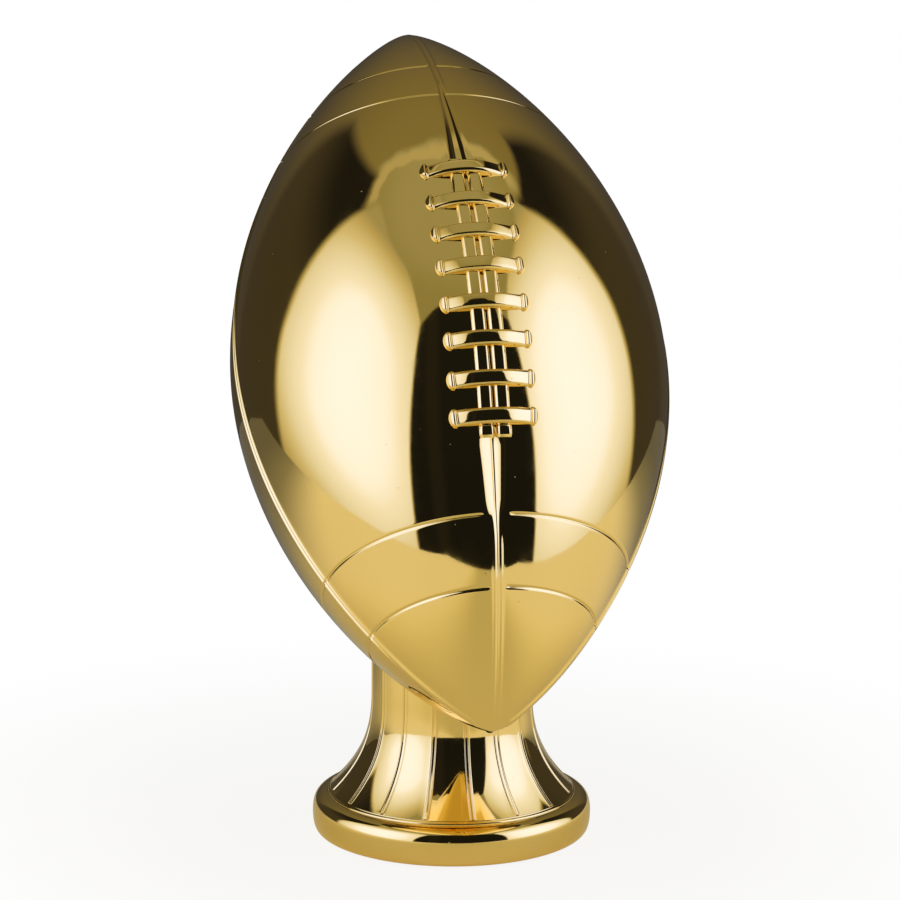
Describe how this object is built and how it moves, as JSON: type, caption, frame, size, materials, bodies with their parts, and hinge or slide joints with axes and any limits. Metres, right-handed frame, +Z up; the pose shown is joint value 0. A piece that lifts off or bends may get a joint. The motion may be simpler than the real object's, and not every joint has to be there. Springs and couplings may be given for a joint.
{
  "type": "football trophy",
  "caption": "Mirror-gold laced American football leaning back on a fluted, flared pedestal with a round foot, held by a tie rod and weighted under a felt pad.",
  "frame": {"origin": "centre of the felt face that the trophy rests on, on the pedestal's axis", "axes": "+Z up, -Y towards the laces, +X to the right of someone facing the laces"},
  "size_m": [0.1654, 0.2088, 0.2899],
  "materials": {
    "gold_plate": "mirror-bright gold electroplate over a moulded plastic body",
    "felt": "dark green wool felt, glued on",
    "ballast_iron": "plain cast iron",
    "insert_brass": "turned brass",
    "zinc_steel": "bright zinc-plated steel"
  },
  "bodies": {
    "root": {"front_shell": "gold_plate", "rear_shell": "gold_plate", "lace_bar_1": "gold_plate", "lace_bar_2": "gold_plate", "lace_bar_3": "gold_plate", "lace_bar_4": "gold_plate", "lace_bar_5": "gold_plate", "lace_bar_6": "gold_plate", "lace_bar_7": "gold_plate", "lace_bar_8": "gold_plate", "lace_strand_left": "gold_plate", "lace_strand_right": "gold_plate", "lace_tail_left": "gold_plate", "lace_tail_right": "gold_plate", "pedestal": "gold_plate", "foot": "gold_plate", "felt_pad": "felt", "ballast": "ballast_iron", "ball_insert": "insert_brass", "tie_rod": "zinc_steel", "tie_washer": "zinc_steel", "lock_washer": "zinc_steel", "tie_nut": "zinc_steel"}
  },
  "joints": []
}
